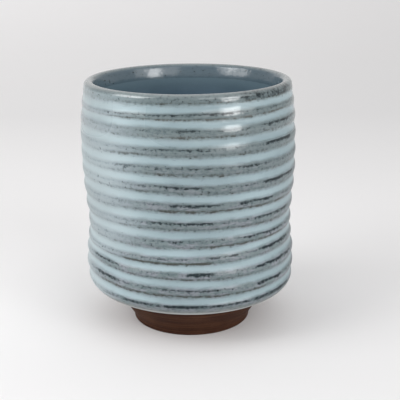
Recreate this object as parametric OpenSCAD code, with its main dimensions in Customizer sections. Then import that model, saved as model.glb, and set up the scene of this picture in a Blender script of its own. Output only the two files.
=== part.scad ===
// Yunomi tea cup: a tall handleless cup of dark stoneware, thrown on the wheel with
// its finger ridges left on the wall, and turned underneath to leave a bare foot ring.
// A thick pale glaze pools in the grooves outside, and a darker liner glaze coats the inside.
// +Z is up, and the origin is the centre of the foot ring's resting face.

/* [Cup] */
// Widest diameter of the cup, over the glaze at the shoulder
cup_d = 80; // [70:0.5:90]
// Height from the resting face to the top of the lip
cup_h = 93.4; // [84:0.1:106]
// How far the lip stands in from the shoulder
lip_in = 1.8; // [0.5:0.1:4]
// How far the waist, below the middle of the wall, stands in from the shoulder
waist_in = 1.2; // [0.2:0.1:3]
// How far the belly, low on the wall, stands in from the shoulder
belly_in = 0.3; // [0:0.1:2]
// How far the heel, where the wall turns under, stands in from the shoulder
heel_in = 0.5; // [0.2:0.1:3]
// Radius of the rounded heel, over the glaze
heel_round = 6.7; // [5:0.1:8]

/* [Clay wall] */
// Thickness of the clay at a ridge's crest
wall_t = 4.7; // [4:0.1:6]
// Radius of the rounded lip, over the glaze
lip_round = 1.85; // [1.5:0.05:2.2]
// Flare of the inside of the mouth above the liner, from upright, in degrees
mouth_flare = 15; // [5:1:22]
// Radius of the corner between the inside wall and the floor
inside_round = 10; // [6:0.5:14]
// Thickness of the clay floor at its centre, above the foot's recess
floor_t = 7; // [6:0.1:9]
// Slope of the dished floor where it meets the inside corner, in degrees
dish_slope = 5; // [1:0.5:10]

/* [Throwing ridges] */
// Height from one groove to the next, a finger's width on the wheel
ridge_pitch = 6.2; // [5:0.1:9]
// Depth of a groove in the glazed surface
groove_depth = 0.5; // [0.2:0.05:1]
// Height of the lowest groove above the heel's centre of curvature
low_groove_up = 0.6; // [0:0.1:2]
// Depth below the lowest groove of the ridge that it leaves on the rounded heel
low_ridge_down = 3; // [2:0.1:4]
// Depth of the highest groove below the middle of the lip's roll
high_groove_down = 2.7; // [1.5:0.1:4]

/* [Foot] */
// Diameter of the foot ring at its resting face
foot_d = 45; // [40:0.5:48]
// Diameter of the recess inside the foot ring
recess_d = 34; // [28:0.5:37]
// Depth of the recess inside the foot ring
recess_depth = 8.5; // [6:0.1:10]
// Height of the foot, up to the underside of the cup
foot_h = 13.8; // [12:0.1:15]
// Height of the straight band that the turning tool leaves at the bottom of the foot
foot_band_h = 1.8; // [1:0.1:3]
// Flare of the foot above that band, from upright, in degrees
foot_flare = 32; // [20:1:36]
// Rise of the cup's underside from the foot to the heel, in degrees
underside_slope = 10; // [4:1:14]
// Radius where the flared foot meets the underside
neck_round = 2.5; // [1.5:0.1:4]
// Radius on the two edges of the resting face
foot_edge_round = 0.5; // [0.2:0.1:1]
// Radius in the corner of the recess
recess_round = 2; // [1:0.1:3]

/* [Glaze] */
// Thickness of the outer glaze on a ridge's crest and over the lip
glaze_crest_t = 0.25; // [0.15:0.05:0.5]
// Thickness of the outer glaze pooled in a groove
glaze_groove_t = 1; // [0.6:0.05:1.4]
// Thickness of the outer glaze where it gathers on the heel and at its lower edge
glaze_heel_t = 0.8; // [0.4:0.05:1.2]
// Turn of the heel left bare below the lower edge of the outer glaze, in degrees
bare_turn = 12; // [8:1:20]
// Depth below the lip's top to which the outer glaze runs down inside the mouth
mouth_overlap = 5.4; // [4:0.1:9]
// Thickness of the liner glaze inside
liner_t = 0.4; // [0.2:0.05:0.8]

/* [Hidden] */
$fn = 144;

// Facets to one groove and ridge, outside and under the glaze, to a round, and up the inside wall
ridge_steps = 10;
clay_ridge_steps = 6;
round_steps = 10;
inside_steps = 24;

// Heights of the belly, the waist and the two ends of the shoulder, from heel to lip
belly_share = 0.08;
waist_share = 0.29;
shoulder_low_share = 0.615;
shoulder_high_share = 0.73;
// Uneven finger spacing from the heel up, each as a share of the pitch
pitch_shares = [1.03, 0.90, 0.89, 1.05, 1.08, 1.08, 1.03, 1.05, 1.00, 0.98, 0.86];

foot_r = foot_d / 2;
recess_r = recess_d / 2;
shoulder_r = cup_d / 2;
lip_r = shoulder_r - lip_in;
lip_centre = [lip_r - lip_round, cup_h - lip_round];

// The flare and the underside are two straight lines that meet at the neck
neck = [foot_r + (foot_h - foot_band_h) * tan(foot_flare), foot_h];
clay_heel_round = heel_round - glaze_heel_t;
heel_r = shoulder_r - heel_in - heel_round;
heel_centre = [
    heel_r,
    foot_h + (heel_r - neck.x) * tan(underside_slope) + clay_heel_round / cos(underside_slope),
];

wall_h = lip_centre.y - heel_centre.y;
floor_z = recess_depth + floor_t;
liner_top = cup_h - mouth_overlap;

// Places of the grooves: as many pitches as fit the wall, spread over it by the uneven shares
low_groove = heel_centre.y + low_groove_up;
high_groove = lip_centre.y - high_groove_down;
gaps = max(1, round((high_groove - low_groove) / ridge_pitch));
function pitches_below(k) =
    k == 0 ? 0 : pitches_below(k - 1) + pitch_shares[(k - 1) % len(pitch_shares)];
function groove_z(k) = low_groove + (high_groove - low_groove) * pitches_below(k) / pitches_below(gaps);

// A blend from 0 to 1 that starts and ends level
function ease(t) = let (u = max(0, min(1, t))) u * u * (3 - 2 * u);
function blend(a, b, t) = a + (b - a) * t;

// Radius over the ridges' crests at a share s of the way from heel to lip
function crest_r_at(s) =
    s < belly_share ? shoulder_r - blend(heel_in, belly_in, ease(s / belly_share)) :
    s < waist_share ?
        shoulder_r - blend(belly_in, waist_in, ease((s - belly_share) / (waist_share - belly_share))) :
    s < shoulder_low_share ?
        shoulder_r - waist_in * (1 - ease((s - waist_share) / (shoulder_low_share - waist_share))) :
    s < shoulder_high_share ? shoulder_r :
        shoulder_r - lip_in * pow((s - shoulder_high_share) / (1 - shoulder_high_share), 2);
// Radius on the rounded heel at height z, under a coat of thickness t
function heel_r_at(z, t = 0) = heel_r + sqrt(pow(heel_round - t, 2) - pow(z - heel_centre.y, 2));
function crest_r(z) = z < heel_centre.y ? heel_r_at(z) : crest_r_at((z - heel_centre.y) / wall_h);

// How much of a groove there is at a phase in degrees: 1 at its centre, 0 on the crest
function groove_at(phase) = (1 + cos(phase)) / 2;

// Samples up the outside wall, each a height and its share of a groove, with so many steps to a ridge
low_ridge = low_groove - low_ridge_down;
function wall_samples(steps) = let (half = steps / 2) [
    for (i = [0 : half - 1])
        [blend(low_ridge, low_groove, i / half), groove_at(180 - 180 * i / half)],
    for (k = [0 : gaps - 1], i = [0 : steps - 1])
        [blend(groove_z(k), groove_z(k + 1), i / steps), groove_at(360 * i / steps)],
    for (i = [0 : half])
        [blend(high_groove, lip_centre.y, i / half), groove_at(180 * i / half)],
];

// Level thickness of the outer glaze: gathered on the heel, thin on the crests, pooled in the grooves
low_ridge_t = heel_r_at(low_ridge) - heel_r_at(low_ridge, glaze_heel_t);
function glaze_t(z, groove) =
    let (land_t = blend(low_ridge_t, glaze_crest_t, ease((z - low_ridge) / (2 * low_ridge_down))))
    blend(land_t, glaze_groove_t, groove);
function glazed_r(z, groove) = crest_r(z) - groove_depth * groove;

glazed_wall = [for (s = wall_samples(ridge_steps)) [glazed_r(s[0], s[1]), s[0]]];
clay_wall = [for (s = wall_samples(clay_ridge_steps)) [glazed_r(s[0], s[1]) - glaze_t(s[0], s[1]), s[0]]];

// The flared inside of the mouth, under a coat of thickness t: the radius of its lower edge at the
// liner's top, where a line at the flare's slope leaves the lip's roll
clay_lip_round = lip_round - glaze_crest_t;
flare_end = 180 - mouth_flare;
function flare_low_r(t) =
    let (high = lip_centre + (clay_lip_round + t) * [cos(flare_end), sin(flare_end)])
    high.x - (high.y - liner_top) * tan(mouth_flare);

// Clay thickness changes from the shoulder up, so that the inside wall meets the flare's lower edge
mouth_clay_t = crest_r(liner_top) - glaze_crest_t - flare_low_r(0);
shoulder_top = blend(heel_centre.y, lip_centre.y, shoulder_high_share);
function bore_r(z) =
    crest_r(z) - glaze_crest_t
        - blend(wall_t, mouth_clay_t, ease((z - shoulder_top) / (liner_top - shoulder_top)));

// Points of an arc about a centre, from one angle to another
function arc(centre, r, from, to, steps = round_steps) =
    [for (i = [0 : steps]) centre + r * [cos(blend(from, to, i / steps)), sin(blend(from, to, i / steps))]];

// Points of a round of radius r in the corner p, between the straight lines to a and b
function corner(a, p, b, r, steps = round_steps) =
    let (
        to_a = (a - p) / norm(a - p),
        to_b = (b - p) / norm(b - p),
        half = acos(to_a * to_b) / 2,
        centre = p + (to_a + to_b) / norm(to_a + to_b) * r / sin(half),
        first = p + to_a * r / tan(half) - centre,
        last = p + to_b * r / tan(half) - centre,
        from = atan2(first.y, first.x),
        turn = atan2(last.y, last.x) - from
    )
    arc(centre, r, from, from + (turn > 180 ? turn - 360 : turn < -180 ? turn + 360 : turn), steps);

// The inside corner's arc and the dished floor, a parabola that meets it without a kink
inside_wall_r = bore_r(floor_z + inside_round);
dish_r = inside_wall_r - inside_round * (1 - sin(dish_slope));
dish_depth = dish_r * tan(dish_slope) / 2;
inside_centre = [inside_wall_r - inside_round, floor_z + dish_depth + inside_round * cos(dish_slope)];

// The inside surface from the centre of the floor up to a height, a coat of thickness t inside the clay
function inside_surface(t, top) =
    let (
        edge = inside_centre + (inside_round - t) * [sin(dish_slope), -cos(dish_slope)],
        base = floor_z + t,
        wall_low = inside_centre.y
    )
    concat(
        [for (i = [0 : round_steps - 1])
            [edge.x * i / round_steps, blend(base, edge.y, pow(i / round_steps, 2))]],
        arc(inside_centre, inside_round - t, dish_slope - 90, 0),
        [for (i = [1 : inside_steps])
            let (z = blend(wall_low, top, i / inside_steps)) [bore_r(z) - t, z]]
    );
function reversed(points) = [for (i = [len(points) - 1 : -1 : 0]) points[i]];

// Point on the heel's arc at an angle, under a coat of thickness t
function heel_point(angle, t = 0) = heel_centre + (heel_round - t) * [cos(angle), sin(angle)];

// The heel's arc turns from the underside's slope up to the lowest ridge, and part of it is bare
heel_low = underside_slope - 90;
bead_top = heel_low + bare_turn;
bead_low = bead_top - atan(glaze_heel_t / clay_heel_round);
underside_end = heel_point(heel_low, glaze_heel_t);

// The bare foot: recess, resting face, straight band, flare and neck, up to the end of the underside
foot_outline = concat(
    [[0, recess_depth]],
    corner([0, recess_depth], [recess_r, recess_depth], [recess_r, 0], recess_round),
    corner([recess_r, recess_depth], [recess_r, 0], [foot_r, 0], foot_edge_round),
    corner([recess_r, 0], [foot_r, 0], [foot_r, foot_band_h], foot_edge_round),
    [[foot_r, foot_band_h]],
    corner([foot_r, foot_band_h], neck, underside_end, neck_round)
);

// Angle on the heel's arc at which a coat of thickness t reaches the lowest ridge
function low_ridge_angle(t) = asin((low_ridge - heel_centre.y) / (heel_round - t));

// The heel under the glaze and over it, each up to just below the lowest ridge
bare_heel = arc(heel_centre, clay_heel_round, heel_low, bead_low, 2);
clay_heel = arc(heel_centre, clay_heel_round, bead_low, low_ridge_angle(glaze_heel_t));
glazed_heel = arc(heel_centre, heel_round, bead_top, low_ridge_angle(0));

// The outer glaze ends in a rounded bead as thick as the coat there
glaze_bead = arc(heel_point(bead_top, glaze_heel_t), glaze_heel_t, bead_top - 90, bead_top);

// Drops the last point of a list, where the next list starts at the same place
function but_last(points) = [for (i = [0 : len(points) - 2]) points[i]];

module clay_body() {
    color("#54362a")
        rotate_extrude()
            polygon(concat(
                foot_outline,
                but_last(bare_heel),
                but_last(clay_heel),
                clay_wall,
                arc(lip_centre, clay_lip_round, 0, flare_end),
                reversed(inside_surface(0, liner_top))
            ));
}

module outer_glaze() {
    color("#a7bcc4")
        rotate_extrude()
            polygon(concat(
                but_last(glaze_bead),
                but_last(glazed_heel),
                glazed_wall,
                arc(lip_centre, lip_round, 0, flare_end, 2 * round_steps),
                [[flare_low_r(glaze_crest_t), liner_top], [flare_low_r(0), liner_top]],
                arc(lip_centre, clay_lip_round, flare_end, 0),
                reversed(clay_wall),
                reversed(but_last(clay_heel))
            ));
}

module inner_glaze() {
    color("#56697a")
        rotate_extrude()
            polygon(concat(
                inside_surface(liner_t, liner_top),
                reversed(inside_surface(0, liner_top))
            ));
}

clay_body();
outer_glaze();
inner_glaze();
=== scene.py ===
"""A yunomi tea cup in dark stoneware, with pale glaze pooled between its finger ridges.

Three pieces are worked out as surfaces of revolution that a potter's hand has moved a little: the
clay body with its turned foot, the outer glaze and the liner glaze. Lengths are in millimetres until
a mesh is made. Angles run round the cup from +X, and the photograph looks along +Y.
"""

import logging
import math
from collections.abc import Callable
from dataclasses import dataclass, field
from enum import Enum
from functools import reduce

import bpy
import numpy as np
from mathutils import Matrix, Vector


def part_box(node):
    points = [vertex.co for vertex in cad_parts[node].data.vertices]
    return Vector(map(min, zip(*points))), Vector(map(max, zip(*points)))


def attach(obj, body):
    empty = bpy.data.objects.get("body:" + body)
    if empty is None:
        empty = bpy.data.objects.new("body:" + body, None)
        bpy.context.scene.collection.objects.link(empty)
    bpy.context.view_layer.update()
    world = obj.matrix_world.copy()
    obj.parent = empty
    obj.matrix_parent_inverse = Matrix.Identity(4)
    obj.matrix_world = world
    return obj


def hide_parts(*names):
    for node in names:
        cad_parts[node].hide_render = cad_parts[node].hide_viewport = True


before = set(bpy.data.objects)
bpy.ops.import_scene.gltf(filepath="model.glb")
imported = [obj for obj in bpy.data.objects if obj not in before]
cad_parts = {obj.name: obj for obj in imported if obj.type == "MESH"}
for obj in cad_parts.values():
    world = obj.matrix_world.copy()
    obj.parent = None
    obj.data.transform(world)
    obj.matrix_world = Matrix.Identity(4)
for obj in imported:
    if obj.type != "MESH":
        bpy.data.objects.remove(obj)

log = logging.getLogger("yunomi")

MM = 0.001
BODY = "root"
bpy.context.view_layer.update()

Array = np.ndarray
Piece = bpy.types.Object
Socket = bpy.types.NodeSocket
Pair = tuple[float, float]
Triple = tuple[float, float, float]
# Radii and heights, each rows by columns
Rows = tuple[Array, Array]
# A dark dash in the glaze: its ridge, the angles from and to, and its strength
Dash = tuple[int, float, float, float]
# What a socket takes: another's output, a number, a vector, or a screen colour as six hex digits
Value = Socket | float | tuple[float, ...] | str


def blend(start: Array | float, end: Array | float, share: Array | float) -> Array:
    """Straight mix: start plus share times the way to end."""
    return start + (end - start) * share


def ease(share: Array | float) -> Array:
    """Blend from 0 to 1 that starts and ends level: u squared times (3 less 2 u)."""
    u = np.clip(share, 0.0, 1.0)
    return u * u * (3.0 - 2.0 * u)


def hump(value: Array, centre: float, half_width: float) -> Array:
    """Smooth hump of height 1: the ease of 1 less the distance from centre over half_width."""
    return ease(1.0 - np.abs(value - centre) / half_width)


def span(value: Array, low: float, high: float, soft: float) -> Array:
    """1 between low and high and 0 outside, easing over a soft width centred on each of them."""
    return ease((value - low) / soft + 0.5) * ease((high - value) / soft + 0.5)


def sample(rows: Array, at: Array) -> Array:
    """Rows at fractional row numbers, blended straight between the two nearest."""
    at = np.clip(at, 0, len(rows) - 1)
    base = np.minimum(at.astype(int), len(rows) - 2)
    return blend(rows[base], rows[base + 1], (at - base)[:, None])


def arc(centre: Pair, radius: float, start: float, end: float, steps: int) -> Array:
    """Points of an arc in the (radius, height) plane.

    Args:
        centre: the arc's centre.
        radius: its radius.
        start: first angle in degrees, from straight out.
        end: last angle in degrees.
        steps: number of chords.

    Returns:
        Rows of (radius, height): centre plus radius times (cos, sin) of evenly spaced angles.
    """
    turn = np.radians(np.linspace(start, end, steps + 1))
    return np.array(centre) + radius * np.stack([np.cos(turn), np.sin(turn)], axis=1)


def straight(start: Pair, end: Pair, steps: int) -> Array:
    """Rows evenly spaced along the line from start to end, both included."""
    share = np.linspace(0.0, 1.0, steps + 1)[:, None]
    return blend(np.array(start, float), np.array(end, float), share)


def add_object(name: str, data: bpy.types.ID) -> Piece:
    """Puts an object made of some data into the scene."""
    made = bpy.data.objects.new(name, data)
    bpy.context.scene.collection.objects.link(made)
    return made


@dataclass(frozen=True)
class CupForm:
    """Sizes of the cup as thrown and turned, in millimetres and degrees.

    The widest radius and the height come from the frame. The rest repeat the construction's sizes.
    """

    radius: float
    height: float
    lip_in: float = 1.8
    waist_in: float = 1.2
    belly_in: float = 0.3
    heel_in: float = 0.5
    heel_round: float = 6.7
    wall_t: float = 4.7
    lip_round: float = 1.85
    mouth_flare: float = 15.0
    throat_soft: float = 2.5
    slope_step: float = 0.1
    edge_gap: float = 0.05
    edge_share: float = 0.9
    inside_round: float = 10.0
    round_rows: int = 16
    floor_z: float = 15.5
    dish_slope: float = 5.0
    groove_depth: float = 0.5
    low_groove_up: float = 0.6
    low_ridge_down: float = 3.0
    high_groove_down: float = 2.7
    foot_r: float = 22.5
    recess_r: float = 17.0
    recess_depth: float = 8.5
    foot_h: float = 13.8
    foot_band_h: float = 1.8
    foot_flare: float = 32.0
    underside_slope: float = 10.0
    neck_round: float = 2.5
    foot_edge_round: float = 0.5
    recess_round: float = 2.0
    glaze_crest_t: float = 0.25
    glaze_groove_t: float = 1.0
    glaze_heel_t: float = 0.8
    bare_turn: float = 12.0
    mouth_overlap: float = 5.4
    liner_t: float = 0.4
    belly_share: float = 0.08
    waist_share: float = 0.29
    shoulder_low_share: float = 0.615
    shoulder_high_share: float = 0.73
    pitch_shares: tuple[float, ...] = (1.03, 0.90, 0.89, 1.05, 1.08, 1.08, 1.03, 1.05, 1.00, 0.98, 0.86)

    @property
    def lip_centre(self) -> Pair:
        """Centre of the lip's roll as (radius, height)."""
        return self.radius - self.lip_in - self.lip_round, self.height - self.lip_round

    @property
    def neck_r(self) -> float:
        """Radius at which the flare of the foot would meet the underside."""
        return self.foot_r + (self.foot_h - self.foot_band_h) * math.tan(math.radians(self.foot_flare))

    @property
    def heel_centre(self) -> Pair:
        """Centre of the heel's arc as (radius, height)."""
        r = self.radius - self.heel_in - self.heel_round
        slope = math.radians(self.underside_slope)
        rise = (r - self.neck_r) * math.tan(slope)
        return r, self.foot_h + rise + (self.heel_round - self.glaze_heel_t) / math.cos(slope)

    @property
    def liner_top(self) -> float:
        """Height of the liner glaze's upper edge inside the mouth."""
        return self.height - self.mouth_overlap

    @property
    def groove_heights(self) -> Array:
        """Mean heights of the grooves' centres, from the lowest up."""
        low = self.heel_centre[1] + self.low_groove_up
        high = self.lip_centre[1] - self.high_groove_down
        run = np.concatenate([[0.0], np.cumsum(self.pitch_shares)])
        return low + (high - low) * run / run[-1]

    def crest_radius(self, z: Array) -> Array:
        """Radius over the ridges' crests at each height.

        The wall eases from heel to belly, in to the waist, out to the shoulder and, as a parabola,
        in again to the lip. Below the heel's centre it is the heel's arc.
        """
        heel_r, heel_z = self.heel_centre
        share = (z - heel_z) / (self.lip_centre[1] - heel_z)
        drop, start = self.heel_in, 0.0
        ends = self.belly_share, self.waist_share, self.shoulder_low_share
        for end, stands_in in zip(ends, (self.belly_in, self.waist_in, 0.0)):
            drop = blend(drop, stands_in, ease((share - start) / (end - start)))
            start = end
        neck_run = np.clip((share - self.shoulder_high_share) / (1 - self.shoulder_high_share), 0, None)
        drop = drop + self.lip_in * neck_run**2
        below = np.clip(self.heel_round**2 - (z - heel_z) ** 2, 0, None)
        return np.where(z < heel_z, heel_r + np.sqrt(below), self.radius - drop)

    def mouth_rows(self, coat: float, steps: int, flare_steps: int) -> Array:
        """Outline over the lip and down the flared inside of the mouth.

        Args:
            coat: thickness of the coat on the clay, 0 for the clay itself.
            steps: chords of the lip's roll.
            flare_steps: rows down the flare.

        Returns:
            Rows of (radius, height): the roll's arc, then the line at the flare's slope that leaves
            it, down to the liner's top, with one row close above its end that keeps the edge crisp.
        """
        radius = self.lip_round - self.glaze_crest_t + coat
        roll = arc(self.lip_centre, radius, 0, 180 - self.mouth_flare, steps)
        low_r = roll[-1, 0] - (roll[-1, 1] - self.liner_top) * math.tan(math.radians(self.mouth_flare))
        rows = np.concatenate([roll, straight(tuple(roll[-1]), (low_r, self.liner_top), flare_steps)[1:]])
        rows[steps:, 0] += self.throat(rows[steps:, 1])
        return np.concatenate([rows[:-1], blend(rows[-2:-1], rows[-1:], self.edge_share), rows[-1:]])

    def throat(self, z: Array) -> Array:
        """Rounding of the throat, where the flare leaves the bore, as an addition to the radius.

        A parabola that touches both slopes: their difference times the square of what is left of the
        reach, over four times the reach.
        """
        top = self.liner_top
        below, at_top = self.crest_radius(np.array([top - self.slope_step, top]))
        slope = math.tan(math.radians(self.mouth_flare)) - (at_top - below) / self.slope_step
        left = np.clip(self.throat_soft - np.abs(z - top), 0, None)
        return slope * left**2 / (4 * self.throat_soft)

    def bore_radius(self, z: Array) -> Array:
        """Radius of the clay's inside wall: the crest's less the glaze and the clay's thickness.

        Above the shoulder the thickness eases over to what the flare of the mouth leaves.
        """
        top = np.array(self.liner_top)
        mouth_r = self.mouth_rows(0.0, 2, 1)[-1, 0] - self.throat(top)
        mouth_t = self.crest_radius(top) - self.glaze_crest_t - mouth_r
        shoulder_top = blend(self.heel_centre[1], self.lip_centre[1], self.shoulder_high_share)
        share = ease((z - shoulder_top) / (self.liner_top - shoulder_top))
        thickness = self.glaze_crest_t + blend(self.wall_t, mouth_t, share)
        return self.crest_radius(z) - thickness + self.throat(z)

    def inside_rows(self, coat: float, top: float, steps: int) -> Array:
        """Outline of the inside from the floor's centre up to a height.

        Args:
            coat: thickness of the coat on the clay, 0 for the clay itself.
            top: height at which the outline ends.
            steps: rows up the wall.

        Returns:
            Rows of (radius, height): a parabola over the dished floor, an arc round the inside
            corner, and the bore up to the top.
        """
        slope = math.radians(self.dish_slope)
        wall_r = float(self.bore_radius(np.array(self.floor_z + self.inside_round)))
        dish_r = wall_r - self.inside_round * (1 - math.sin(slope))
        dish_depth = dish_r * math.tan(slope) / 2
        centre_z = self.floor_z + dish_depth + self.inside_round * math.cos(slope)
        centre = (wall_r - self.inside_round, centre_z)
        edge_r = centre[0] + (self.inside_round - coat) * math.sin(slope)
        edge_z = centre[1] - (self.inside_round - coat) * math.cos(slope)
        out = np.linspace(0.0, 1.0, self.round_rows + 1)[:-1]
        floor = np.stack([edge_r * out, blend(self.floor_z + coat, edge_z, out**2)], axis=1)
        corner = arc(centre, self.inside_round - coat, self.dish_slope - 90, 0, self.round_rows)
        z = np.append(np.linspace(centre[1], top, steps + 1)[1:-1], [top - self.edge_gap, top])
        wall = np.stack([self.bore_radius(z) - coat, z], axis=1)
        return np.concatenate([floor, corner, wall])


@dataclass(frozen=True)
class Hand:
    """What the potter's hand leaves: slow waves round the cup, seeded so that each run is the same.

    `wander` has a row for each groove, from the lowest, with its offset at each facing angle. `press`
    is each groove's depth at the left and at the right, and `sway` has rows of (height, x, y).
    """

    form: CupForm
    seed: int = 11
    waves: int = 5
    restless: float = 0.07
    facing: tuple[float, ...] = (-150.0, -110.0, -70.0, -30.0)
    facing_reach: float = 40.0
    wander: tuple[tuple[float, ...], ...] = (
        (0.3, -0.6, -0.9, -0.2), (1.3, 0.2, -0.7, -1.3), (0.5, -0.3, -0.3, -0.1),
        (-1.2, -0.6, -0.1, 0.3), (-0.4, -0.3, -0.5, -1.3), (-0.9, -0.2, -0.5, -0.8),
        (-0.1, 0.1, -0.8, -1.3), (-0.2, -0.1, -0.8, -1.0), (-1.3, -0.1, -0.4, -0.8),
        (-0.2, -0.2, -0.1, -0.2), (0.3, 0.3, -0.3, 0.6), (-1.5, -0.8, 0.1, -0.2),
    )
    press: tuple[Pair, ...] = (
        (1.1, 1.5), (1.1, 1.7), (1.0, 1.6), (0.9, 1.4), (0.9, 1.4), (0.9, 1.2),
        (0.7, 1.0), (0.5, 1.0), (0.5, 1.0), (0.4, 1.0), (0.4, 0.6), (0.4, 0.5),
    )
    sway: tuple[Triple, ...] = (
        (0.0, 0.55, 0.0), (12.0, 0.45, 0.0), (22.0, 0.20, 0.05), (34.0, 0.25, 0.0), (41.0, 0.30, 0.0),
        (50.0, 0.10, 0.05), (58.0, 0.15, 0.05), (66.0, 0.10, 0.0), (74.0, 0.0, 0.0),
    )
    press_wave: float = 0.15
    heel_tilt: float = -0.35
    tilt_height: float = 17.0
    tilt_reach: float = 14.0
    oval: float = 0.12
    oval_turn: float = 0.6
    oval_height: float = 30.0
    pinch: float = 0.35
    pinch_height: float = 39.0
    pinch_reach: float = 12.0
    pinch_core: float = 10.0

    def harmonics(self, rows: int, salt: int) -> Callable[[Array], Array]:
        """Random slow waves, one set for each row.

        Args:
            rows: number of separate waves.
            salt: a number that sets this family of waves apart from the others.

        Returns:
            A function that gives, for angles, an array of rows by angles. Each row is a sum of
            sines with 1 to `waves` periods round the cup, weaker as they get shorter.
        """
        draw = np.random.default_rng(self.seed * 1000 + salt)
        size = draw.normal(0.0, 1.0, (rows, self.waves)) / np.arange(1, self.waves + 1)
        phase = draw.uniform(0.0, 2 * math.pi, (rows, self.waves))
        period = np.arange(1, self.waves + 1)

        def wave(angle: Array) -> Array:
            """Sum of the sines at each angle."""
            turn = period[None, :, None] * angle[None, None, :] + phase[:, :, None]
            return (size[:, :, None] * np.sin(turn)).sum(axis=1)

        return wave

    def groove_z(self, angle: Array) -> Array:
        """Heights of the grooves' centres at each angle, as an array of grooves by angles.

        Each groove wanders by its own amounts at the facing angles, smoothly blended between them
        and fading out behind, and by small slow waves all round.
        """
        mean = self.form.groove_heights
        turned = np.degrees(angle)[:, None] - np.array(self.facing)
        near = ease(1 - np.abs((turned + 180) % 360 - 180) / self.facing_reach)
        wave = self.harmonics(len(mean), 1)(angle)
        return mean[:, None] + np.array(self.wander) @ near.T + self.restless * wave

    def pressed(self, angle: Array) -> Array:
        """How deep each groove is pressed, as a factor, as an array of grooves by angles.

        Each goes from its value on the left to its value on the right with (1 + cos of the angle)
        / 2, and slow waves vary it.
        """
        left, right = np.array(self.press).T[:, :, None]
        share = (1 + np.cos(angle))[None, :] / 2
        waves = self.harmonics(len(self.press), 2)(angle)
        return blend(left, right, share) * (1 + self.press_wave * waves)

    def move(self, r: Array, z: Array, angle: Array) -> Array:
        """Places points of the ideal cup where the hand has left them.

        The axis sways with height, the heel tilts, the waist is pinched a little more and the wall is
        slightly oval.

        Args:
            r: radii, rows by angles.
            z: heights, rows by angles.
            angle: angles, one for each column.

        Returns:
            Positions in millimetres, rows by angles by three.
        """
        heights, off_x, off_y = np.array(self.sway).T
        oval = self.oval / self.form.radius * np.cos(2 * (angle - self.oval_turn))
        wide = r * (1.0 + oval * ease(z / self.oval_height))
        wide -= self.pinch * hump(z, self.pinch_height, self.pinch_reach) * ease(r / self.pinch_core)
        x = wide * np.cos(angle)
        y = wide * np.sin(angle)
        tilt = self.heel_tilt * hump(z, self.tilt_height, self.tilt_reach) * x / self.form.radius
        return np.stack([x + np.interp(z, heights, off_x), y + np.interp(z, heights, off_y), z + tilt], -1)


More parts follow.
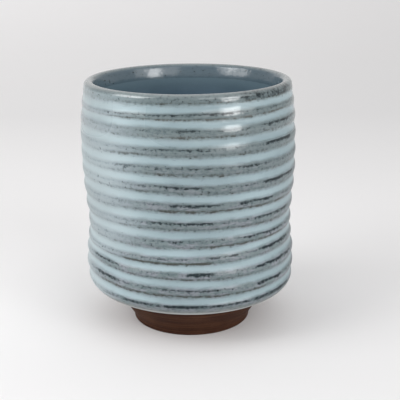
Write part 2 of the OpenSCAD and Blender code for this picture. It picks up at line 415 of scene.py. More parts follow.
@dataclass(frozen=True)
class Firing:
    """What the kiln left in the outer glaze: iron dashes, a veil of thick glaze, and partly painted light.

    Angles are degrees to the right of the camera. A ridge is counted by the groove below it, so -1
    lies under the lowest groove and 11 is the lip. A dash is (ridge, from, to, strength), and the veil
    has a value for each ridge. A patch is (middle, reach, from and to in grooves up the wall, share by
    which it is brighter, or darker below zero). The patches are partly thicker glaze and partly painted
    light, brighter at the left and low down, where the left lamp and the floor's bounce fall. The side
    that faces away is given as the angle at which it starts and the degrees over which it takes over.
    """

    hand: Hand
    under_pool: tuple[Dash, ...] = (
        (-1, -40, -14, 0.75), (-1, -14, 9, 1.05), (-1, 9, 34, 0.7), (-1, 34, 70, 0.9),
        (0, -60, -40, 1.0), (0, -30, 19, 0.6), (0, 38, 60, 1.0),
        (1, -65, -40, 1.0), (1, -1, 14, 1.2), (1, 36, 70, 0.95),
        (2, 8, 30, 0.75), (2, 40, 70, 1.1),
        (3, -22, 20, 0.6), (3, 28, 63, 0.85),
        (4, -22, 14, 0.9), (4, 36, 68, 0.95),
        (5, -9, 19, 0.9), (5, 26, 50, 1.0),
        (6, -18, 14, 0.7), (6, 41, 72, 1.1),
        (7, -41, -24, 0.7), (7, -1, 40, 0.6),
        (8, -18, 14, 0.7), (8, 43, 68, 1.1),
        (9, -60, -55, 1.0), (9, -8, 8, 0.8), (9, 38, 75, 0.75),
        (10, -50, -16, 0.6), (10, -16, 30, 0.8), (10, 30, 75, 0.5),
        (11, 28, 75, 1.15),
    )
    over_pool: tuple[Dash, ...] = (
        (0, -56, 46, 0.8),
        (1, -36, 36, 0.6),
        (2, -38, 13, 1.1), (2, 13, 60, 0.4),
        (3, 4, 63, 0.8),
        (4, -40, 60, 0.6),
        (5, -16, 63, 0.8),
        (6, -56, -16, 0.6),
        (7, -26, 20, 0.6),
        (8, -47, -21, 0.8),
        (9, -20, 30, 0.6),
        (10, -45, 60, 0.7),
        (11, -30, 75, 0.5),
    )
    quiet: float = 0.42
    dash_soft: float = 8.0
    dash_away: Pair = (65.0, 30.0)
    wild_dash: Pair = (0.5, 0.35)
    veil_from: tuple[float, ...] = (-50, -62, -62, -40, -34, -30, -35, -33, -34, -33, -36, -38, -35)
    veil_most: tuple[float, ...] = (0.8, 0.75, 0.7, 0.6, 0.55, 0.6, 0.65, 0.75, 0.75, 0.7, 0.62, 0.62, 0.6)
    veil_soft: float = 34.0
    veil_back: float = -150.0
    veil_back_soft: float = 40.0
    veil_away: Pair = (75.0, 40.0)
    wild_veil: Pair = (0.25, 0.25)
    # Patches of partly painted light: brighter at the left and low down, as the left lamp and the floor's
    # bounce make it
    washes_and_painted_light: tuple[tuple[float, float, float, float, float], ...] = (
        (-66.0, 30.0, 4.0, 13.0, -0.10),
        (-28.0, 24.0, 4.0, 13.0, 0.20),
        (-40.0, 34.0, -3.0, 1.5, 0.28),
        (-18.0, 70.0, 1.7, 4.3, 0.13),
        (42.0, 34.0, -3.0, 6.5, 0.11),
    )
    wash_soft: float = 2.0

    def from_camera(self, angle: Array) -> Array:
        """Degrees to the right of the camera, from -180 to 180, of angles from +X."""
        return (np.degrees(angle) + 270.0) % 360.0 - 180.0

    def away(self, angle: Array, start: float, soft: float) -> Array:
        """How far each angle is on the side that faces away, 0 to 1."""
        return ease((np.abs(self.from_camera(angle)) - start) / soft)

    def wild(self, angle: Array, middle: float, swing: float, salt: int) -> Array:
        """Seeded waves about a middle for each ridge, for the side that the photograph doesn't show."""
        return middle + swing * self.hand.harmonics(len(self.veil_from), salt)(angle)

    def dashes(self, table: tuple[Dash, ...], place: Array, angle: Array, salt: int) -> Array:
        """Strength of a dark line at each place and angle.

        Args:
            table: the dashes of that line.
            place: places up the wall, counted in grooves.
            angle: the columns' angles from +X.
            salt: sets the line's random waves apart.

        Returns:
            Strengths, rows by columns: the quiet strength or a dash's own, whichever is more, with
            soft ends, and seeded waves on the side that faces away.
        """
        turned = self.from_camera(angle)
        rows = np.full((len(self.veil_from), len(angle)), self.quiet)
        for ridge, start, end, strength in table:
            reach = span(turned, start, end, self.dash_soft)
            rows[ridge + 1] = np.maximum(rows[ridge + 1], strength * reach)
        rows = blend(rows, self.wild(angle, *self.wild_dash, salt), self.away(angle, *self.dash_away))
        return rows[np.clip(np.floor(place).astype(int) + 1, 0, len(rows) - 1)]

    def veil(self, place: Array, angle: Array) -> Array:
        """How far thick glaze hides the ridges, 0 to 1, rows by columns: most at the camera's left."""
        turned = self.from_camera(angle)
        limit = np.array(self.veil_from)[:, None]
        away = self.away(angle, *self.veil_away)
        left = ease((limit - turned) / self.veil_soft + 0.5)
        left = left * ease((turned - self.veil_back) / self.veil_back_soft)
        wild = np.clip(self.wild(angle, *self.wild_veil, 7), 0.0, 1.0)
        rows = np.maximum(left * np.array(self.veil_most)[:, None], wild * away)
        return sample(rows, place + 0.5)

    def wash_and_painted_light(self, place: Array, angle: Array) -> Array:
        """How much brighter the glaze is, as a share, rows by columns: a sum of soft-edged patches, partly
        painted light.
        """
        turned = self.from_camera(angle)
        return sum(
            share * span(place, low, high, self.wash_soft)[:, None] * hump(turned, middle, reach)
            for middle, reach, low, high, share in self.washes_and_painted_light
        )


class Ends(Enum):
    """How a turned outline ends."""

    LOOP = "the last row joins the first"
    POLES = "the first and last rows are single points on the axis"


@dataclass
class TurnedSurface:
    """A grid of points, rows along the outline by columns round the cup, and what it carries."""

    name: str
    points: Array
    ends: Ends
    marks: dict[str, Array] = field(default_factory=dict)

    def build(self) -> Piece:
        """Makes the mesh: a quad between each two rows and columns, wound so that faces point out.

        Returns:
            The object, at the origin, with one value at each vertex for each mark.
        """
        rows, cols, _ = self.points.shape
        xyz = self.points.reshape(-1, 3)
        values = {k: np.broadcast_to(v, (rows, cols)).reshape(-1) for k, v in self.marks.items()}
        index = np.arange(rows * cols).reshape(rows, cols)
        right = np.roll(index, -1, axis=1)
        if self.ends is Ends.LOOP:
            above, above_right = np.roll(index, -1, axis=0), np.roll(right, -1, axis=0)
            low, low_right = index, right
        else:
            above, above_right = index[1:], right[1:]
            low, low_right = index[:-1], right[:-1]
        quads = np.stack([low, low_right, above_right, above], axis=-1).reshape(-1, 4)
        corners = quads.reshape(-1)
        sizes = np.full(len(quads), 4)
        if self.ends is Ends.POLES:
            poles = np.array([self.points[0].mean(axis=0), self.points[-1].mean(axis=0)])
            first, last = len(xyz), len(xyz) + 1
            xyz = np.concatenate([xyz, poles])
            values = {k: np.concatenate([v, [v[0], v[-1]]]) for k, v in values.items()}
            fan_low = np.stack([np.full(cols, first), right[0], index[0]], axis=-1)
            fan_high = np.stack([np.full(cols, last), index[-1], right[-1]], axis=-1)
            corners = np.concatenate([corners, fan_low.reshape(-1), fan_high.reshape(-1)])
            sizes = np.concatenate([sizes, np.full(2 * cols, 3)])
        mesh = bpy.data.meshes.new(self.name)
        mesh.vertices.add(len(xyz))
        mesh.vertices.foreach_set("co", (xyz * MM).astype(np.float32).reshape(-1))
        mesh.loops.add(len(corners))
        mesh.loops.foreach_set("vertex_index", corners.astype(np.int32))
        mesh.polygons.add(len(sizes))
        mesh.polygons.foreach_set("loop_start", (np.cumsum(sizes) - sizes).astype(np.int32))
        mesh.polygons.foreach_set("loop_total", sizes.astype(np.int32))
        mesh.polygons.foreach_set("use_smooth", np.ones(len(sizes), bool))
        for key, value in values.items():
            layer = mesh.attributes.new(key, "FLOAT", "POINT")
            layer.data.foreach_set("value", value.astype(np.float32))
        mesh.update(calc_edges=True)
        mesh.validate()
        return add_object(self.name, mesh)


def linear(code: str) -> tuple[float, float, float, float]:
    """Scene-linear colour of a screen colour written as six hex digits."""
    parts = [int(code[i : i + 2], 16) / 255 for i in (0, 2, 4)]
    r, g, b = (p / 12.92 if p <= 0.04045 else ((p + 0.055) / 1.055) ** 2.4 for p in parts)
    return r, g, b, 1.0


class Recipe:
    """A material's node graph, written as a few short calls."""

    def __init__(self, name: str) -> None:
        """Starts a material with a Principled surface."""
        self.material = bpy.data.materials.new(name)
        self.material.use_nodes = True
        self.tree = self.material.node_tree
        self.surface = self.tree.nodes["Principled BSDF"]

    def feed(self, socket: Socket, value: Value) -> None:
        """Links an output to a socket, or sets the socket to a plain value or a written colour."""
        if isinstance(value, Socket):
            self.tree.links.new(value, socket)
        else:
            socket.default_value = linear(value) if isinstance(value, str) else value

    def step(self, kind: str, output: str, inputs: dict[str | int, Value], **settings: object) -> Socket:
        """Adds a node of a kind, sets its properties, feeds its inputs and gives one of its outputs."""
        made = self.tree.nodes.new("ShaderNode" + kind)
        for key, setting in settings.items():
            setattr(made, key, setting)
        for key, value in inputs.items():
            self.feed(made.inputs[key], value)
        return made.outputs[output]

    def mark(self, name: str) -> Socket:
        """Value that the mesh carries under a name."""
        return self.step("Attribute", "Fac", {}, attribute_name=name)

    def where(self) -> Socket:
        """Position on the object, in metres."""
        return self.step("TexCoord", "Object", {})

    def along(self, axis: str) -> Socket:
        """Position on the object along one axis, in metres."""
        return self.step("SeparateXYZ", axis, {"Vector": self.where()})

    def noise(
        self,
        scale: Triple,
        detail: float = 2.0,
        rough: float = 0.5,
        offset: Triple = (0, 0, 0),
    ) -> Socket:
        """Cloudy noise from 0 to 1 at so many waves a metre along each axis."""
        spread = {"Vector": self.where(), "Scale": scale, "Location": offset}
        place = self.step("Mapping", "Vector", spread)
        inputs = {"Vector": place, "Scale": 1.0, "Detail": detail, "Roughness": rough}
        return self.step("TexNoise", "Fac", inputs, noise_dimensions="3D")

    def maths(self, operation: str, *values: Value, clamp: bool = False) -> Socket:
        """One arithmetic step on values or outputs."""
        return self.step("Math", "Value", dict(enumerate(values)), operation=operation, use_clamp=clamp)

    def times(self, *values: Value) -> Value:
        """Product of values."""
        return reduce(lambda first, second: self.maths("MULTIPLY", first, second), values)

    def line(self, value: Value, slope: Value, start: Value, clamp: bool = False) -> Socket:
        """The start plus the value times the slope."""
        return self.maths("MULTIPLY_ADD", value, slope, start, clamp=clamp)

    def most(self, first: Value, second: Value) -> Socket:
        """The greater of two values."""
        return self.maths("MAXIMUM", first, second)

    def rise(self, value: Value, low: float, high: float) -> Socket:
        """Smooth step from 0 at low to 1 at high, or down where low is above high."""
        first, last = (0.0, 1.0) if low < high else (1.0, 0.0)
        inputs = {"Value": value, "From Min": min(low, high), "From Max": max(low, high)}
        inputs.update({"To Min": first, "To Max": last})
        return self.step("MapRange", "Result", inputs, interpolation_type="SMOOTHSTEP")

    def within(self, value: Value, low: float, high: float, soft: float) -> Socket:
        """1 between low and high, falling to 0 over a soft margin outside them."""
        return self.times(self.rise(value, low - soft, low), self.rise(value, high + soft, high))

    def heights(self, start: float, end: float) -> Socket:
        """Smooth step from 0 at one height, in millimetres, to 1 at another, higher or lower."""
        return self.rise(self.along("Z"), start * MM, end * MM)

    def mix(self, share: Value, first: Value, second: Value) -> Socket:
        """Mixes two colours: the first at share 0 and the second at share 1."""
        inputs = {"Factor": share, "A": first, "B": second}
        return self.step("Mix", "Result", inputs, data_type="RGBA", blend_type="MIX")

    def brighter(self, colour: Value, factor: Value) -> Socket:
        """Multiplies a colour by a factor."""
        return self.step("VectorMath", "Vector", {0: colour, "Scale": factor}, operation="SCALE")

    def bump(self, height: Socket, depth: float, strength: float, **under: Socket) -> Socket:
        """Normal of a surface raised by the height times a depth in millimetres, over any other Normal."""
        inputs = {"Height": height, "Distance": depth * MM, "Strength": strength, **under}
        return self.step("Bump", "Normal", inputs)

    def broken_line(self, band: Value, wide: Value, strength: Value, speckle: Value) -> Socket:
        """A dark line that breaks into dots.

        Args:
            band: 1 along the line, falling to 0 beside it.
            wide: the same over the width of a strong dash.
            strength: 0.4 where the line is faint and 1 or more where a dash lies.
            speckle: noise from 0 to 1 that breaks it.

        Returns:
            The line's darkness: a smooth step of the speckle plus a share of the band and, as far as
            the strength goes past faint, of the wide band, so that all its edges are ragged.
        """
        extra = self.most(self.line(strength, 0.5, -0.2), 0.0)
        value = self.line(band, 0.39, self.line(extra, wide, speckle))
        return self.times(self.rise(value, 0.80, 1.26), 0.95)

    def finish(self, **inputs: Value) -> bpy.types.Material:
        """Feeds the surface's own sockets, named with underscores for spaces, and gives the material."""
        for key, value in inputs.items():
            self.feed(self.surface.inputs[key.replace("_", " ")], value)
        return self.material


# Waves a metre: dots, fine and long streaks of the throwing rings, clouds, flecks, and swells of glaze
DOT = (900.0, 900.0, 1000.0)
FINE = (420.0, 420.0, 2200.0)
DASH = (170.0, 170.0, 650.0)
CLOUD = (38.0, 38.0, 60.0)
FLECK = (1500.0, 1500.0, 1900.0)
SWELL = (300.0, 300.0, 300.0)
LINER_SWELL = (500.0, 500.0, 500.0)
# The same for the bare clay: marks of the turning tool, smears and pores
TOOL = (30.0, 30.0, 1300.0)
SMEAR = (90.0, 90.0, 160.0)
PORE = (3200.0, 3200.0, 3600.0)


@dataclass(frozen=True)
class PooledGlaze:
    """The pale outer glaze: milky where it pools, breaking to grey clay and iron dashes on a ridge."""

    milk: str = "91a4aa"
    pool: str = "84979d"
    # Pale thick glaze, also mixed in a little where light is painted
    thick: str = "bac7ca"
    land: str = "677476"
    lavender: str = "7a7f86"
    speck: str = "415055"
    iron: str = "152024"
    rust: str = "343832"
    mouth: str = "51626c"
    heel: str = "7d8280"
    # A pale line at the glaze's lower edge, and the painted highlight along the lip's inner edge
    edge: str = "b4b8b8"
    roughness: float = 0.36
    lip_roughness: float = 0.16
    gloss: float = 0.5
    mouth_gloss: float = 0.68
    upper_gloss: float = 0.88
    veil_paleness: float = 0.75
    veil_cover: float = 0.96
    warm_heights: Pair = (85.0, 40.0)
    gloss_heights: Pair = (70.0, 82.0)
    dot_depth: float = 0.12
    swell_depth: float = 0.4
    # By the place between two grooves: where the glaze is thin, and the lines and dashes beside it
    crest_from: Pair = (0.08, 0.36)
    crest_to: Pair = (0.95, 0.71)
    low_line: Triple = (0.34, 0.38, 0.12)
    low_dash: Triple = (0.32, 0.42, 0.12)
    high_line: Triple = (0.66, 0.69, 0.12)
    high_dash: Triple = (0.55, 0.72, 0.10)
    heel_line: Triple = (-0.45, -0.30, 0.07)

    def material(self) -> bpy.types.Material:
        """Builds the glaze: bands by the place between two grooves, dashes and specks by noise."""
        mix = Recipe("pooled_glaze")
        ridge, lip, mouth, veil, wash_and_painted_light = map(mix.mark, ("ridge", "lip", "mouth", "veil", "wash_and_painted_light"))
        over_pool, under_pool = mix.mark("over_pool"), mix.mark("under_pool")
        dot = mix.noise(DOT)
        dash = mix.noise(DASH, 3.0, 0.65, offset=(1.3, 2.9, 0.4))
        fine = mix.noise(FINE, offset=(0.3, 1.7, 2.2))
        speckle = mix.line(dot, 0.85, mix.line(dash, 0.75, -0.30))
        mottle = mix.line(dot, 0.5, mix.times(fine, 0.5))
        # The place between two grooves, 0 and 1 at their centres, made a little ragged
        ragged = mix.line(mottle, 0.15, mix.line(dash, 0.2, -0.175))
        place = mix.maths("FRACT", mix.maths("ADD", ridge, ragged))

        # Milky glaze pooled in the grooves, paler under the veil and the patches of partly painted light,
        # and thin glaze over clay on the ridges
        pale = mix.mix(mix.rise(mix.noise(CLOUD, 3.0), 0.38, 0.66), self.pool, self.milk)
        pale = mix.mix(mix.line(veil, self.veil_paleness, mix.times(wash_and_painted_light, 0.4)), pale, self.thick)
        warm = mix.times(mix.rise(dash, 0.42, 0.60), mix.heights(*self.warm_heights))
        warm = mix.most(warm, mix.times(veil, 1.6))
        warm = mix.maths("MULTIPLY", warm, mix.line(lip, -0.8, 1.0), clamp=True)
        body = mix.mix(warm, self.land, self.lavender)
        body = mix.mix(mix.times(mix.rise(mottle, 0.44, 0.62), 0.5), body, self.speck)
        crest = mix.times(mix.rise(place, *self.crest_from), mix.rise(place, *self.crest_to))
        cover = mix.most(crest, lip)
        clear = mix.line(veil, -self.veil_cover, 1.0)
        colour = mix.mix(mix.times(cover, clear), pale, body)

        # A faint shade and a broken dark line along both edges of a ridge, on the lip and on the heel
        low_band = mix.within(place, *self.low_line)
        high_band = mix.most(mix.within(place, *self.high_line), mix.times(lip, 0.7))
        high_band = mix.most(high_band, mix.within(ridge, *self.heel_line))
        shade = mix.line(high_band, under_pool, mix.times(low_band, over_pool))
        depth = mix.line(mix.rise(ridge, 0.0, -0.2), 0.3, 0.45)
        shade = mix.maths("MULTIPLY", shade, depth, clamp=True)
        low = mix.broken_line(low_band, mix.within(place, *self.low_dash), over_pool, speckle)
        wide = mix.most(mix.within(place, *self.high_dash), high_band)
        high = mix.broken_line(high_band, wide, under_pool, speckle)
        for mark, tone in ((shade, self.speck), (low, self.rust), (high, self.iron)):
            colour = mix.mix(mix.times(mark, clear), colour, tone)
        # Brighter under the patches: partly thicker glaze, partly painted light from the left lamp and the
        # floor
        colour = mix.brighter(colour, mix.maths("ADD", wash_and_painted_light, 1.0))

        # The mouth, iron dots, the heel, a pale line at the lower edge, and a painted highlight along the
        # lip's inner edge
        slate = mix.mix(mix.times(mix.rise(mottle, 0.50, 0.62), 0.35), self.mouth, self.speck)
        colour = mix.mix(mouth, colour, slate)
        colour = mix.mix(mix.times(mix.rise(dot, 0.67, 0.73), cover, 0.8), colour, self.iron)
        under = mix.mix(mix.times(mix.rise(mottle, 0.40, 0.62), 0.6), self.heel, self.speck)
        colour = mix.mix(mix.rise(ridge, -0.51, -0.60), colour, under)
        colour = mix.mix(mix.rise(ridge, -0.59, -0.66), colour, self.edge)
        # Painted highlight: a pale line along the lip's inner top edge
        colour = mix.mix(mix.times(mix.mark("rim_highlight"), 0.4), colour, self.edge)

        # Glossier towards the lip, but not where the glaze is thick or washed out, nor on the iron
        held = mix.line(veil, -0.5, mix.line(wash_and_painted_light, -3.0, 0.9), clamp=True)
        glossier = mix.most(lip, mix.times(mix.heights(*self.gloss_heights), held))
        rough = mix.line(glossier, self.lip_roughness - self.roughness, self.roughness)
        gloss = mix.line(glossier, self.upper_gloss - self.gloss, self.gloss)
        gloss = mix.line(mouth, mix.maths("SUBTRACT", self.mouth_gloss, gloss), gloss)
        gloss = mix.times(gloss, mix.line(high, -0.6, 1.0))
        skin = mix.bump(dot, self.dot_depth, 0.3)
        skin = mix.bump(mix.noise(SWELL), self.swell_depth, 0.25, Normal=skin)
        return mix.finish(Base_Color=colour, Roughness=rough, Specular_IOR_Level=gloss, Normal=skin)


@dataclass(frozen=True)
class LinerGlaze:
    """The slate liner glaze inside, even and glossy, a little paler near the mouth."""

    shallow: str = "5e717b"
    deep: str = "4b6070"
    light: str = "5f7484"
    fleck: str = "3a4a55"
    roughness: float = 0.1
    shallow_heights: Pair = (79.0, 88.0)
    swell_depth: float = 0.3

    def material(self) -> bpy.types.Material:
        """Builds the liner: two close blues in slow clouds, with a few darker flecks."""
        mix = Recipe("liner_glaze")
        colour = mix.mix(mix.rise(mix.noise(CLOUD, 3.0), 0.35, 0.7), self.deep, self.light)
        colour = mix.mix(mix.times(mix.rise(mix.noise(FLECK), 0.68, 0.76), 0.5), colour, self.fleck)
        colour = mix.mix(mix.heights(*self.shallow_heights), colour, self.shallow)
        skin = mix.bump(mix.noise(LINER_SWELL), self.swell_depth, 0.2)
        return mix.finish(Base_Color=colour, Roughness=self.roughness, Normal=skin)


@dataclass(frozen=True)
class BareClay:
    """The unglazed stoneware of the foot: dark brown, matt and sandy, streaked by the turning tool."""

    dark: str = "33190d"
    mid: str = "4a2c1a"
    light: str = "5e3d28"
    sand: str = "6d4c3c"
    roughness: float = 0.75
    gloss: float = 0.2
    streak_depth: float = 0.4
    pore_depth: float = 0.25

    def material(self) -> bpy.types.Material:
        """Builds the clay: level streaks of three browns, pale sand and dark pores."""
        mix = Recipe("bare_clay")
        streaks = mix.noise(TOOL, 4.0, 0.6)
        grain = mix.noise(PORE, 2.0, 0.6)
        colour = mix.mix(mix.rise(streaks, 0.36, 0.66), self.dark, self.mid)
        colour = mix.mix(mix.times(mix.rise(mix.noise(SMEAR, 3.0), 0.45, 0.75), 0.25), colour, self.light)
        colour = mix.mix(mix.times(mix.rise(grain, 0.62, 0.74), 0.5), colour, self.sand)
        colour = mix.mix(mix.times(mix.rise(grain, 0.40, 0.30), 0.7), colour, self.dark)
        skin = mix.bump(streaks, self.streak_depth, 0.5, Normal=mix.bump(grain, self.pore_depth, 0.6))
        look = {"Base_Color": colour, "Roughness": self.roughness, "Specular_IOR_Level": self.gloss}
        return mix.finish(**look, Normal=skin)


@dataclass(frozen=True)
class Stretch:
    """A stretch of the outer glaze's outline, with its places in grooves and its marks row by row."""

    rows: Rows
    place: Array
    lip: Array | float = 0.0
    mouth: Array | float = 0.0
    crown: Array | float = 0.0
    rim_highlight: Array | float = 0.0


@dataclass
class ThrownCup:
    """The cup: clay, outer glaze and liner on one set of angles, so that they stay in contact."""

    form: CupForm
    hand: Hand
    firing: Firing
    columns: int = 345
    ridge_rows: int = 14
    clay_rows: int = 8
    lip_rows: int = 22
    bead_place: float = -0.75
    end_share: float = 0.15
    lip_from: float = 0.22
    # By the share of the way over the lip and down into the mouth
    mouth_from: float = 0.4
    # Where the painted highlight along the lip's inner edge peaks, and its half width
    rim_highlight_at: Pair = (0.36, 0.30)
    clay_seam: float = -60.0
    pole_r: float = 0.4
    liner_fade: float = 3.0

    @property
    def angle(self) -> Array:
        """The columns' angles round the cup."""
        return np.linspace(0.0, 2 * math.pi, self.columns, endpoint=False)

    def ring_rows(self, outline: Array) -> Rows:
        """Spreads an outline that is the same all round over the columns, as radii and heights."""
        ones = np.ones((1, self.columns))
        return outline[:, :1] * ones, outline[:, 1:] * ones

    def wall_places(self, steps: int) -> Array:
        """Places up the wall in grooves, from the lowest ridge at -0.5 to the lip at 11.5."""
        last = len(self.form.pitch_shares)
        return np.linspace(-0.5, last + 0.5, (last + 1) * steps + 1)

    def wall(self, place: Array, clay: bool) -> Rows:
        """The ridged wall, as radii and heights.

        Between two grooves the height goes evenly from one groove's centre to the next, at each
        angle. The radius is the crest's less the groove's depth times (1 + cos of a full turn a
        groove) / 2, with a depth that varies slowly round the cup. The clay is deeper by the
        glaze's thickness, thin on a crest and pooled in a groove.

        Args:
            place: places up the wall, counted in grooves.
            clay: True for the clay's surface, False for the glaze's.

        Returns:
            Radii and heights, each rows by columns.
        """
        form, angle = self.form, self.angle
        mid = self.hand.groove_z(angle)
        low_end = form.groove_heights[0] - form.low_ridge_down
        ends_low = np.full((1, self.columns), 2 * low_end) - mid[:1]
        ends_high = 2 * form.lip_centre[1] - mid[-1:]
        knots = np.concatenate([ends_low, mid, ends_high])
        z = sample(knots, place + 1)
        groove = (1 + np.cos(2 * math.pi * place)) / 2
        edge = ease(np.minimum(place + 0.5, place[-1] - place) * 2 + self.end_share)
        nearest = np.clip(np.rint(place).astype(int), 0, len(mid) - 1)
        depth = form.groove_depth * self.hand.pressed(angle)[nearest] * edge[:, None]
        r = form.crest_radius(z) - depth * groove[:, None]
        if clay:
            fade = ease((z - low_end) / (2 * form.low_ridge_down))
            crest_t = blend(form.glaze_heel_t, form.glaze_crest_t, fade)
            r = r - blend(crest_t, form.glaze_groove_t, groove[:, None])
        return r, z

    def heel(self, coat: float, first: float, steps: int) -> Array:
        """Rows round the heel from an angle up to just below the lowest ridge, under a coat."""
        form = self.form
        radius = form.heel_round - coat
        drop = form.groove_heights[0] - form.low_ridge_down - form.heel_centre[1]
        last = math.degrees(math.asin(drop / radius))
        return arc(form.heel_centre, radius, first, last, steps)[:-1]

    def assemble(self, parts: list[Rows]) -> Array:
        """Joins stretches of radii and heights into one grid, and lets the hand move it."""
        r, z = (np.concatenate(half) for half in zip(*parts))
        return self.hand.move(r, z, self.angle)

    def foot_outline(self) -> Array:
        """Outline of the bare foot, from the recess's centre out to the heel under the glaze.

        Straight lines joined by arcs: recess, resting face, upright band, flare, and the round of
        the neck up to the underside.
        """
        form = self.form
        edge, rr, fr = form.foot_edge_round, form.recess_round, form.foot_r
        flare = math.radians(form.foot_flare)
        slope = math.radians(form.underside_slope)
        turn = math.pi / 2 - flare - slope
        reach = form.neck_round * math.tan(turn / 2)
        low = (form.neck_r - reach * math.sin(flare), form.foot_h - reach * math.cos(flare))
        centre = (low[0] + form.neck_round * math.cos(flare), low[1] - form.neck_round * math.sin(flare))
        neck = arc(centre, form.neck_round, 180 - form.foot_flare, 90 + form.underside_slope, 8)
        clay_round = form.heel_round - form.glaze_heel_t
        heel = arc(form.heel_centre, clay_round, form.underside_slope - 90, self.clay_seam, 8)
        return np.concatenate([
            straight((self.pole_r, form.recess_depth), (form.recess_r - rr, form.recess_depth), 16)[:-1],
            arc((form.recess_r - rr, form.recess_depth - rr), rr, 90, 0, 8),
            straight((form.recess_r, form.recess_depth - rr), (form.recess_r, edge), 8)[1:-1],
            arc((form.recess_r + edge, edge), edge, 180, 270, 5),
            straight((form.recess_r + edge, 0.0), (fr - edge, 0.0), 6)[1:-1],
            arc((fr - edge, edge), edge, -90, 0, 5),
            straight((fr, edge), (fr, form.foot_band_h), 5)[1:-1],
            straight((fr, form.foot_band_h), low, 30)[:-1],
            neck,
            straight(tuple(neck[-1]), tuple(heel[0]), 4)[1:-1],
            heel[:-1],
        ])

    def clay_body(self) -> Piece:
        """The clay: foot, underside, ridged wall, lip, inside wall and floor, closed at both poles."""
        form = self.form
        inside = form.inside_rows(0.0, form.liner_top, 24)[::-1][1:-1]
        parts = [
            self.ring_rows(self.foot_outline()),
            self.ring_rows(self.heel(form.glaze_heel_t, self.clay_seam, 6)),
            self.wall(self.wall_places(self.clay_rows)[:-1], clay=True),
            self.ring_rows(form.mouth_rows(0.0, 14, 5)),
            self.ring_rows(inside),
        ]
        return TurnedSurface("clay_cup", self.assemble(parts), Ends.POLES).build()

    def ring(self, outline: Array, place: Array | float, **marks: Array | float) -> Stretch:
        """A stretch of glaze whose outline is the same all round."""
        return Stretch(self.ring_rows(outline), np.broadcast_to(place, len(outline)), **marks)

    def outer_glaze(self) -> Piece:
        """The outer glaze: a closed skin from its bead on the heel, over the lip and into the mouth."""
        form, firing = self.form, self.firing
        bead_top = form.underside_slope - 90 + form.bare_turn
        clay_round = form.heel_round - form.glaze_heel_t
        bead_centre = tuple(arc(form.heel_centre, clay_round, bead_top, bead_top, 0)[0])
        bead_low = bead_top - math.degrees(math.atan(form.glaze_heel_t / clay_round))
        bead = arc(bead_centre, form.glaze_heel_t, bead_top - 90, bead_top, 5)[:-1]
        heel = self.heel(0.0, bead_top, 12)
        wall = self.wall_places(self.ridge_rows)[:-1]
        mouth = form.mouth_rows(form.glaze_crest_t, self.lip_rows, 10)
        wall_back = self.wall_places(4)[:-1][::-1]
        last = len(form.pitch_shares)
        down = np.linspace(0, 1, len(mouth))
        over = {"mouth": ease((down - self.mouth_from) * 4), "crown": ease(down * 5)}
        # A hump over the lip's top, for the painted highlight along its inner edge
        over["rim_highlight"] = hump(down, *self.rim_highlight_at)
        stretches = [
            self.ring(bead, self.bead_place),
            self.ring(heel, np.linspace(self.bead_place, -0.5, len(heel))),
            Stretch(self.wall(wall, clay=False), wall, lip=ease((wall - last - self.lip_from) * 5)),
            self.ring(mouth, last + 0.5, lip=1.0, **over),
            self.ring(form.mouth_rows(0.0, 8, 2)[::-1], last + 0.5, lip=1.0, mouth=1.0),
            Stretch(self.wall(wall_back, clay=True), wall_back),
            self.ring(self.heel(form.glaze_heel_t, bead_low, 6)[::-1], self.bead_place),
        ]

        def gather(name: str) -> Array:
            """One of the stretches' values, as a column of rows."""
            rows = [np.broadcast_to(getattr(s, name), len(s.place)) for s in stretches]
            return np.concatenate(rows)[:, None]

        place = gather("place")[:, 0]
        marks = {
            "ridge": gather("place"),
            "lip": gather("lip"),
            "mouth": gather("mouth"),
            "rim_highlight": gather("rim_highlight"),
            "under_pool": firing.dashes(firing.under_pool, place, self.angle, 3),
            "over_pool": firing.dashes(firing.over_pool, place, self.angle, 4),
            "veil": firing.veil(place, self.angle) * (1 - gather("crown")),
            "wash_and_painted_light": firing.wash_and_painted_light(place, self.angle),
        }
        points = self.assemble([s.rows for s in stretches])
        return TurnedSurface("outer_glaze_coat", points, Ends.LOOP, marks).build()

    def liner_glaze(self) -> Piece:
        """The liner: a closed skin over the floor and the inside wall, up to the outer glaze's edge."""
        form = self.form
        front = form.inside_rows(form.liner_t, form.liner_top, 60)[::-1]
        # The liner thins to the outer glaze's own thickness where the two meet, so that no step shows
        extra = form.liner_t - form.glaze_crest_t
        front[:, 0] += extra * ease(1 - (form.liner_top - front[:, 1]) / self.liner_fade)
        back = form.inside_rows(0.0, form.liner_top, 12)
        front[-1, 0] = back[0, 0] = self.pole_r
        outline = np.concatenate([back, front])
        return TurnedSurface("liner_coat", self.assemble([self.ring_rows(outline)]), Ends.POLES).build()


def dress(piece: Piece, node: str, material: bpy.types.Material) -> None:
    """Gives a piece its finish and its place in the frame, and reports it.

    Args:
        piece: the finished mesh object.
        node: the construction's node that it stands for.
        material: its finish.
    """
    piece.data.materials.append(material)
    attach(piece, BODY)
    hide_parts(node)
    log.info("%s stands for %s with %d faces", piece.name, node, len(piece.data.polygons))


@dataclass(frozen=True)
class Softbox:
    """A softbox that faces the cup's middle, in degrees, millimetres and watts.

    Azimuth 0 is towards the camera and 90 to its right. Elevation is above the cup's middle.
    """

    name: str
    azimuth: float
    elevation: float
    distance: float
    size: Pair
    power: float
    aim_height: float = 50.0

    def hang(self) -> None:
        """Adds the lamp to the scene."""
        data = bpy.data.lights.new(self.name, "AREA")
        data.shape = "RECTANGLE"
        data.size, data.size_y = self.size[0] * MM, self.size[1] * MM
        data.energy = self.power
        lamp = add_object(self.name, data)
        side, up = math.radians(self.azimuth), math.radians(self.elevation)
        away = np.array([math.sin(side) * math.cos(up), -math.cos(side) * math.cos(up), math.sin(up)])
        lamp.location = (away * self.distance + np.array([0.0, 0.0, self.aim_height])) * MM
        lamp.rotation_euler = (math.pi / 2 - up, 0.0, side)


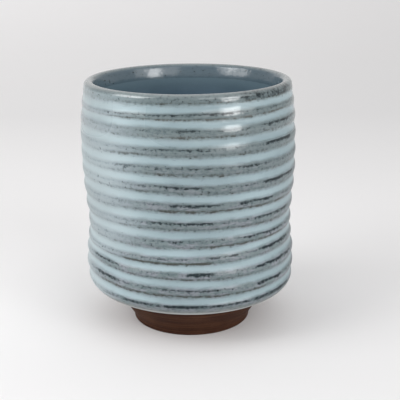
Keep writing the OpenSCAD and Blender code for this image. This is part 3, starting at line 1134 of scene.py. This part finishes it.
SOFTBOXES = (
    Softbox("left_softbox", -66.0, 31.0, 700.0, (480.0, 460.0), 2.6),
    Softbox("left_core", -63.0, 29.0, 690.0, (150.0, 140.0), 0.36),
    Softbox("right_softbox", 45.0, 31.0, 720.0, (780.0, 460.0), 1.64),
    Softbox("right_core", 47.0, 16.5, 700.0, (215.0, 260.0), 1.2),
)


@dataclass(frozen=True)
class Studio:
    """The floor, the lamps and the camera of the photograph, in millimetres and degrees."""

    focal_px: float = 900.0
    frame_px: float = 400.0
    sensor: float = 36.0
    eye: Triple = (4.16, -330.8, 145.1)
    pitch: float = 16.65
    roll: float = -0.40
    near_clip: float = 10.0
    far_clip: float = 20000.0
    floor_reach: float = 3000.0
    bend_share: float = 0.4
    bend_rows: int = 25
    floor_tone: tuple[float, float, float, float] = (0.806, 0.796, 0.798, 1.0)
    floor_roughness: float = 0.9
    # Painted light on the paper: a glow that only camera, glossy and transmission rays see
    near_glow: float = 0.13
    near_start: float = -62.0
    near_end: float = 25.0
    dip: float = 0.04
    dip_start: float = 50.0
    dip_end: float = 130.0
    far_glow: float = 0.295
    far_start: float = 400.0
    far_reach: float = 600.0
    glow_slant: float = 0.9
    side_glow: float = 0.026
    side_slant: float = 4.0
    contact: float = 65.0
    world_light: float = 0.58

    def camera(self) -> None:
        """Sets the camera where the photograph was taken from."""
        data = bpy.data.cameras.new("camera")
        data.sensor_width = self.sensor
        data.lens = self.focal_px * self.sensor / self.frame_px
        data.clip_start = self.near_clip * MM
        data.clip_end = self.far_clip * MM
        eye = add_object("camera", data)
        eye.location = [v * MM for v in self.eye]
        eye.rotation_euler = (math.radians(90 - self.pitch), 0.0, 0.0)
        eye.rotation_euler.rotate_axis("Z", math.radians(self.roll))
        bpy.context.scene.camera = eye

    def floor(self) -> None:
        """Lays a pale sweep: a floor that curves up into a wall far behind the cup."""
        reach = self.floor_reach
        bend = reach * self.bend_share
        back = reach - bend
        turn = np.linspace(0.0, math.pi / 2, self.bend_rows)
        y = np.concatenate([[-reach], back + bend * np.sin(turn), [back + bend]])
        z = np.concatenate([[0.0], bend * (1 - np.cos(turn)), [reach]])
        x = np.array([-reach, reach])
        grid = np.stack(np.broadcast_arrays(x[None, :], y[:, None], z[:, None]), axis=-1)
        index = np.arange(len(y) * 2).reshape(-1, 2)
        faces = np.stack([index[:-1, 0], index[:-1, 1], index[1:, 1], index[1:, 0]], axis=-1)
        mesh = bpy.data.meshes.new("floor")
        mesh.from_pydata((grid.reshape(-1, 3) * MM).tolist(), [], faces.tolist())
        mesh.polygons.foreach_set("use_smooth", np.ones(len(faces), bool))
        mesh.update()
        mesh.materials.append(self.paper())
        add_object("floor", mesh)

    def paper(self) -> bpy.types.Material:
        """The sweep's white paper, with light painted on as from behind the cup and a little from the
        left.

        The painted glow has a near part that steps up smoothly beside the cup and dips a little
        behind it, and a far part that rises past its start as 1 less e to the minus distance over its
        reach and falls with the slope of the line of sight to the right. A weak even part falls faster
        with that slope. Where the cup stands over the floor, the share of open sky takes it away, which
        paints a contact shadow round the cup. Only camera, glossy and transmission rays see the glow.
        """
        mix = Recipe("paper")
        away = mix.along("Y")
        near = mix.times(mix.rise(away, self.near_start * MM, self.near_end * MM), self.near_glow)
        near = mix.line(mix.rise(away, self.dip_start * MM, self.dip_end * MM), -self.dip, near)
        past = mix.most(mix.maths("SUBTRACT", away, self.far_start * MM), 0.0)
        fall = mix.maths("EXPONENT", mix.maths("DIVIDE", past, -self.far_reach * MM))
        far = mix.times(mix.maths("SUBTRACT", 1.0, fall), self.far_glow)
        slope = mix.maths("DIVIDE", mix.along("X"), mix.maths("SUBTRACT", away, self.eye[1] * MM))
        glow = mix.line(far, mix.line(slope, -self.glow_slant, 1.0), near)
        side = mix.line(slope, -self.side_slant * self.side_glow, self.side_glow)
        glow = mix.maths("ADD", glow, mix.most(side, 0.0))
        # Painted contact shadow: the glow fades where the cup hides the open sky
        open_sky = mix.step("AmbientOcclusion", "AO", {"Distance": self.contact * MM})
        seen = 0.0
        for ray in ("Is Camera Ray", "Is Glossy Ray", "Is Transmission Ray"):
            seen = mix.most(seen, mix.step("LightPath", ray, {}))
        return mix.finish(
            Base_Color=self.floor_tone,
            Roughness=self.floor_roughness,
            Emission_Color=self.floor_tone,
            Emission_Strength=mix.times(glow, open_sky, seen),
        )

    def light(self) -> None:
        """Lights the cup with the softboxes and a soft sky."""
        world = bpy.data.worlds.new("sky")
        world.use_nodes = True
        sky = world.node_tree.nodes["Background"]
        sky.inputs["Color"].default_value = (1.0, 1.0, 1.0, 1.0)
        sky.inputs["Strength"].default_value = self.world_light
        bpy.context.scene.world = world
        for box in SOFTBOXES:
            box.hang()


def main() -> None:
    """Builds and dresses the cup, then sets the stage."""
    logging.basicConfig(level=logging.INFO, format="%(name)s: %(message)s")
    low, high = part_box("outer_glaze")
    form = CupForm(radius=(high.x - low.x) / 2 / MM, height=high.z / MM)
    hand = Hand(form)
    cup = ThrownCup(form, hand, Firing(hand))
    dress(cup.clay_body(), "clay_body", BareClay().material())
    dress(cup.outer_glaze(), "outer_glaze", PooledGlaze().material())
    dress(cup.liner_glaze(), "inner_glaze", LinerGlaze().material())
    studio = Studio()
    studio.camera()
    studio.floor()
    studio.light()
    bpy.context.scene.view_settings.view_transform = "Standard"


if __name__ == "__main__":
    main()
